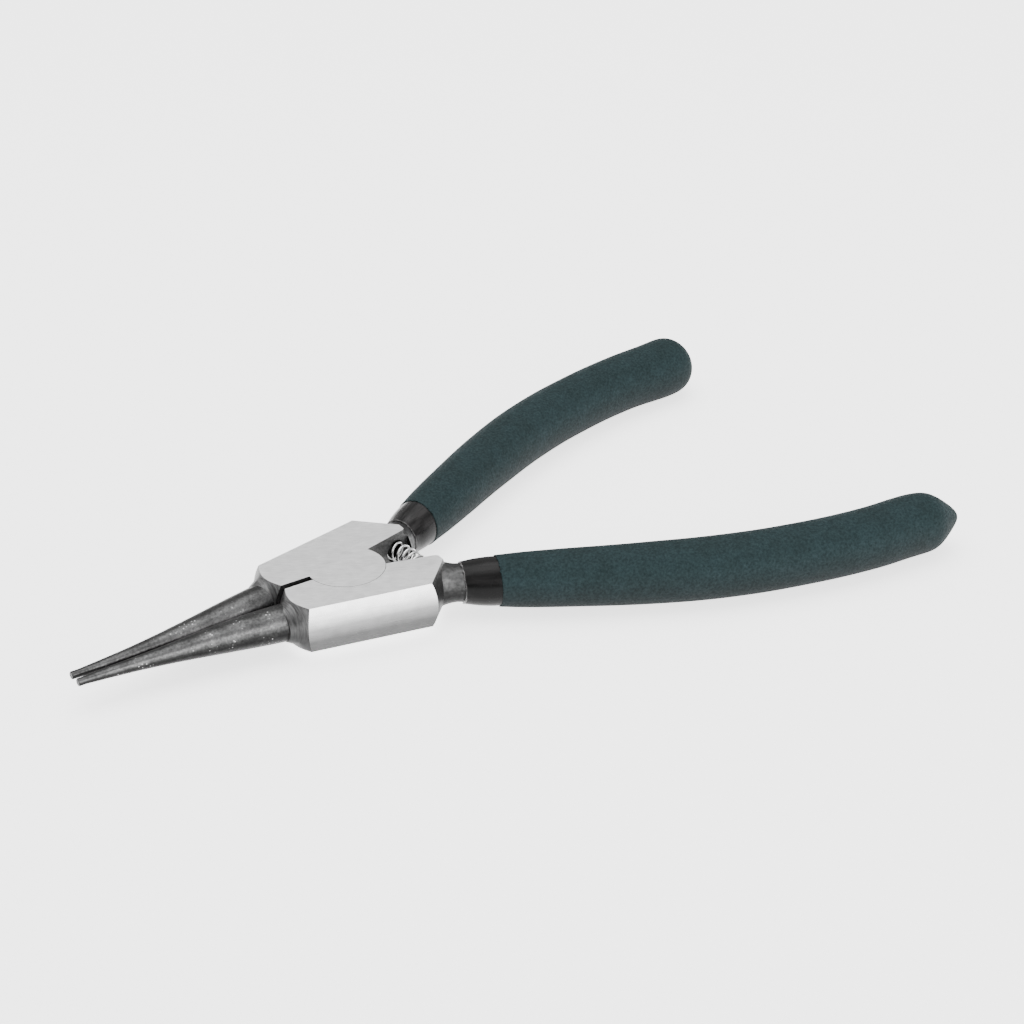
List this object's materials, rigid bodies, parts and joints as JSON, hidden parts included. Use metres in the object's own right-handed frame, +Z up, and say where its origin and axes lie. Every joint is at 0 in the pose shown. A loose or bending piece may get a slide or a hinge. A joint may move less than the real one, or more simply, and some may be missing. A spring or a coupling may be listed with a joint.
{
  "type": "external circlip pliers",
  "caption": "Slim spring-opened jewellery pliers with straight tapered round jaws, blunt tips, a lap joint and dipped grips.",
  "frame": {"origin": "the pivot axis where it crosses the underside of the head", "axes": "+X from the pivot to the handles, +Y to the far half, +Z up, square to the flat head; the tips point along -X"},
  "size_m": [0.1782, 0.1014, 0.013],
  "materials": {
    "forged_steel": "forged and phosphated grey steel, ground bright on the head",
    "rivet_steel": "ground flush with the head",
    "spring_steel": "bright drawn wire",
    "sleeve_vinyl": "smooth glossy black dipped vinyl",
    "grip_foam": "dark green foamed vinyl, matt with a fine grain"
  },
  "bodies": {
    "near_side": {"near_half": "forged_steel", "pivot_rivet": "rivet_steel", "return_spring": "spring_steel", "near_sleeve": "sleeve_vinyl", "near_grip": "grip_foam"},
    "far_side": {"far_half": "forged_steel", "far_sleeve": "sleeve_vinyl", "far_grip": "grip_foam"}
  },
  "joints": [
    {"name": "squeeze", "type": "hinge", "parent": "near_side", "child": "far_side", "pos_m": [0, 0, 0.0049], "axis": [0, 0, -1], "range_deg": [0, 28], "stiffness_Nm_per_rad": 1.2, "springref_deg": -17.19, "deforming": ["return_spring"]}
  ]
}
